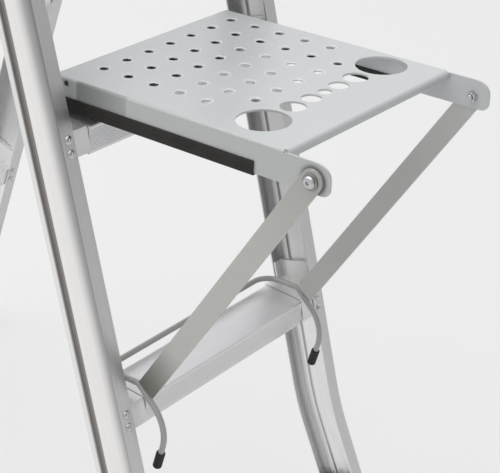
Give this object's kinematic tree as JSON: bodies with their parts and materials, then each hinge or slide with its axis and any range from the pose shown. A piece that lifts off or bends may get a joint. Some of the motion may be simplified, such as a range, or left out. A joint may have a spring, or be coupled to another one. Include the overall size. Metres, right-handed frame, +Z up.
{
  "type": "step ladder",
  "caption": "Double-sided aluminium step ladder with ribbed treads and a perforated tool tray hooked over its front treads on struts and a bent rod.",
  "frame": {"origin": "on the floor, at the middle of the whole object's outline seen from above", "axes": "+X along the treads, +Z up, the tray stands out to -Y and the rear frame to +Y"},
  "size_m": [0.4136, 0.8316, 0.9974],
  "materials": {
    "aluminium_profile": "mill finish with lengthwise extrusion grain",
    "cast_bracket": "smooth, slightly duller than the profiles",
    "tray_paint": "satin pale grey coating",
    "zinc_steel": "bright zinc plate",
    "black_rubber": "matt, ribbed on the tray's edge strips",
    "foot_plastic": "matt moulded"
  },
  "bodies": {
    "front_frame": {"front_rail_left": "aluminium_profile", "front_rail_right": "aluminium_profile", "front_foot_left": "foot_plastic", "front_foot_right": "foot_plastic", "front_cap_left": "foot_plastic", "front_cap_right": "foot_plastic", "front_tread_1": "aluminium_profile", "front_tread_2": "aluminium_profile", "front_tread_3": "aluminium_profile", "front_bracket_left_1": "cast_bracket", "front_bracket_left_2": "cast_bracket", "front_bracket_left_3": "cast_bracket", "front_bracket_right_1": "cast_bracket", "front_bracket_right_2": "cast_bracket", "front_bracket_right_3": "cast_bracket", "hinge_front_plate_left": "zinc_steel", "hinge_front_plate_right": "zinc_steel", "hinge_stop_pin_left": "zinc_steel", "hinge_stop_pin_right": "zinc_steel", "hinge_bolt_left": "zinc_steel", "hinge_bolt_right": "zinc_steel", "hinge_washer_left": "zinc_steel", "hinge_washer_right": "zinc_steel", "hinge_nut_left": "zinc_steel", "hinge_nut_right": "zinc_steel"},
    "rear_frame": {"rear_rail_left": "aluminium_profile", "rear_rail_right": "aluminium_profile", "rear_foot_left": "foot_plastic", "rear_foot_right": "foot_plastic", "rear_cap_left": "foot_plastic", "rear_cap_right": "foot_plastic", "rear_tread_1": "aluminium_profile", "rear_tread_2": "aluminium_profile", "rear_tread_3": "aluminium_profile", "rear_bracket_left_1": "cast_bracket", "rear_bracket_left_2": "cast_bracket", "rear_bracket_left_3": "cast_bracket", "rear_bracket_right_1": "cast_bracket", "rear_bracket_right_2": "cast_bracket", "rear_bracket_right_3": "cast_bracket", "hinge_rear_plate_left": "zinc_steel", "hinge_rear_plate_right": "zinc_steel"},
    "tray": {"tray": "tray_paint", "edge_strip_left": "black_rubber", "edge_strip_right": "black_rubber", "ear_bolt_left": "zinc_steel", "ear_bolt_right": "zinc_steel", "ear_washer_left": "zinc_steel", "ear_washer_right": "zinc_steel", "ear_nut_left": "zinc_steel", "ear_nut_right": "zinc_steel"},
    "stay": {"strut_left": "tray_paint", "strut_right": "tray_paint", "bail_rod": "tray_paint", "bail_cap_left": "black_rubber", "bail_cap_right": "black_rubber"}
  },
  "joints": [
    {"name": "rear_fold", "type": "hinge", "parent": "front_frame", "child": "rear_frame", "pos_m": [0, 0.05214, 0.929], "axis": [-1, 0, 0], "range_deg": [0, 34.2]},
    {"name": "tray_lift", "type": "slide", "parent": "front_frame", "child": "tray", "axis": [0, 0, 1], "range_m": [0, 0.16]},
    {"name": "strut_swing", "type": "hinge", "parent": "tray", "child": "stay", "pos_m": [0, -0.39703, 0.61935], "axis": [-1, 0, 0], "range_deg": [0, 30.25]}
  ],
  "couplings": [
    {"joint": "strut_swing", "follows": "tray_lift", "rad_per_m": 3.2943}
  ]
}
